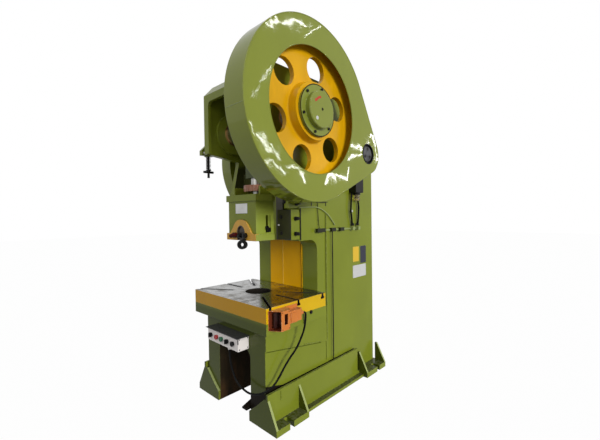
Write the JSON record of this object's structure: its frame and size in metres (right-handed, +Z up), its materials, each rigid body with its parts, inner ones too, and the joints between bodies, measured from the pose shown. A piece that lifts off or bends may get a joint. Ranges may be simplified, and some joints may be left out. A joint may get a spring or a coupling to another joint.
{
  "type": "mechanical stamping press",
  "caption": "Open-front crank press with a fixed bed, geared flywheel drive, guided ram and slotted bolster; crank, ram, gears, pedal and buttons move.",
  "frame": {"origin": "on the floor, at the middle of the whole press's footprint", "axes": "+Z up, +X to the gear side, +Y to the back; the ram's axis is parallel to Z"},
  "size_m": [1.426, 2.3249, 3.089],
  "materials": {
    "green_paint": "gloss olive green enamel",
    "yellow_paint": "gloss orange-yellow enamel",
    "machined_steel": "ground and oiled",
    "dark_steel": "blackened",
    "bronze": "machined bronze",
    "copper_paint": "copper red enamel",
    "red_paint": "dark red enamel",
    "grey_paint": "light grey enamel",
    "dark_grey_paint": "satin grey enamel",
    "black_rubber": "matt",
    "orange_plastic": "semi-gloss",
    "black_plastic": "matt",
    "red_plastic": "gloss",
    "green_plastic": "gloss",
    "clear_bowl": "clear",
    "nameplate_metal": "plain, with no printing"
  },
  "bodies": {
    "press_frame": {"frame": "green_paint", "base_rail_right": "green_paint", "base_rail_left": "green_paint", "foot_tray": "black_plastic", "bolster": "yellow_paint", "throat_panel": "yellow_paint", "gibs": "green_paint", "gib_screws": "dark_steel", "crank_bushes": "bronze", "shaft_bearings": "green_paint", "v_belts": "black_rubber", "motor": "green_paint", "motor_base": "green_paint", "gear_cover": "green_paint", "flywheel_guard": "green_paint", "cover_stays": "green_paint", "guard_stays": "green_paint", "brake_band": "dark_steel", "brake_anchor": "machined_steel", "brake_rod": "machined_steel", "brake_bracket": "green_paint", "brake_spring": "dark_steel", "control_box": "grey_paint", "control_lid": "dark_grey_paint", "cable_gland": "black_plastic", "control_cable": "black_rubber", "pedal_housing": "orange_plastic", "pedal_pin": "machined_steel", "lubricator": "dark_steel", "lubricator_bowl": "clear_bowl", "oil_manifold": "dark_steel", "oil_pipes": "dark_steel", "oil_hoses": "black_rubber"},
    "crank": {"crankshaft": "machined_steel", "brake_drum": "green_paint"},
    "rod": {"connecting_rod": "green_paint", "rod_cap": "green_paint", "rod_bolts": "dark_steel", "adjusting_screw": "machined_steel", "ratchet_ring": "copper_paint"},
    "ram": {"slide": "green_paint", "clamp_cap": "yellow_paint", "clamp_nuts": "red_paint", "clamp_screw": "dark_steel", "ball_seat": "bronze", "slide_nameplate": "nameplate_metal"},
    "knockout": {"knockout_bar": "dark_steel"},
    "gear": {"bull_gear": "yellow_paint", "gear_bush": "bronze", "hub_cover": "green_paint", "hub_bolts": "dark_steel"},
    "countershaft": {"pinion_shaft": "machined_steel", "flywheel": "yellow_paint"},
    "motor_rotor": {"motor_pulley": "machined_steel"},
    "treadle": {"pedal_treadle": "machined_steel"},
    "red_push": {"red_button": "red_plastic"},
    "green_push": {"green_button": "green_plastic"},
    "black_push": {"black_button": "black_plastic"},
    "left_selector": {"selector_left": "black_plastic"},
    "right_selector": {"selector_right": "black_plastic"}
  },
  "joints": [
    {"name": "crank_turn", "type": "hinge", "parent": "press_frame", "child": "crank", "pos_m": [-0.058, -0.4825, 2.409], "axis": [1, 0, 0], "range_deg": [0, 180]},
    {"name": "rod_turn", "type": "hinge", "parent": "crank", "child": "rod", "pos_m": [-0.058, -0.4825, 2.474], "axis": [1, 0, 0], "range_deg": [-180, 0]},
    {"name": "ram_slide", "type": "slide", "parent": "press_frame", "child": "ram", "axis": [0, 0, 1], "range_m": [-0.13, 0]},
    {"name": "knockout_lift", "type": "slide", "parent": "ram", "child": "knockout", "axis": [0, 0, 1], "range_m": [0, 0.014]},
    {"name": "gear_spin", "type": "hinge", "parent": "press_frame", "child": "gear", "pos_m": [-0.058, -0.4825, 2.409], "axis": [1, 0, 0], "continuous": true},
    {"name": "countershaft_spin", "type": "hinge", "parent": "press_frame", "child": "countershaft", "pos_m": [-0.058, 0.23078, 2.1772], "axis": [1, 0, 0], "continuous": true},
    {"name": "motor_spin", "type": "hinge", "parent": "press_frame", "child": "motor_rotor", "pos_m": [-0.058, 0.9875, 1.5], "axis": [1, 0, 0], "continuous": true},
    {"name": "treadle_press", "type": "hinge", "parent": "press_frame", "child": "treadle", "pos_m": [0.471, -0.6785, 0.86], "axis": [0, 0, 1], "range_deg": [-9, 0], "stiffness_Nm_per_rad": 6, "springref_deg": 2},
    {"name": "red_press", "type": "slide", "parent": "press_frame", "child": "red_push", "axis": [0, 1, 0], "range_m": [0, 0.005], "stiffness_N_per_m": 600, "springref_m": -0.003},
    {"name": "green_press", "type": "slide", "parent": "press_frame", "child": "green_push", "axis": [0, 1, 0], "range_m": [0, 0.005], "stiffness_N_per_m": 600, "springref_m": -0.003},
    {"name": "black_press", "type": "slide", "parent": "press_frame", "child": "black_push", "axis": [0, 1, 0], "range_m": [0, 0.005], "stiffness_N_per_m": 600, "springref_m": -0.003},
    {"name": "left_selector_turn", "type": "hinge", "parent": "press_frame", "child": "left_selector", "pos_m": [-0.237, -0.8575, 0.62], "axis": [0, 1, 0], "range_deg": [-45, 45]},
    {"name": "right_selector_turn", "type": "hinge", "parent": "press_frame", "child": "right_selector", "pos_m": [-0.001, -0.8575, 0.62], "axis": [0, 1, 0], "range_deg": [-45, 45]}
  ],
  "couplings": [
    {"joint": "rod_turn", "follows": "crank_turn", "ratio": -1},
    {"joint": "ram_slide", "follows": "crank_turn", "m_per_rad": -0.04138},
    {"joint": "countershaft_spin", "follows": "gear_spin", "ratio": -5.9444},
    {"joint": "motor_spin", "follows": "gear_spin", "ratio": -36.173}
  ]
}
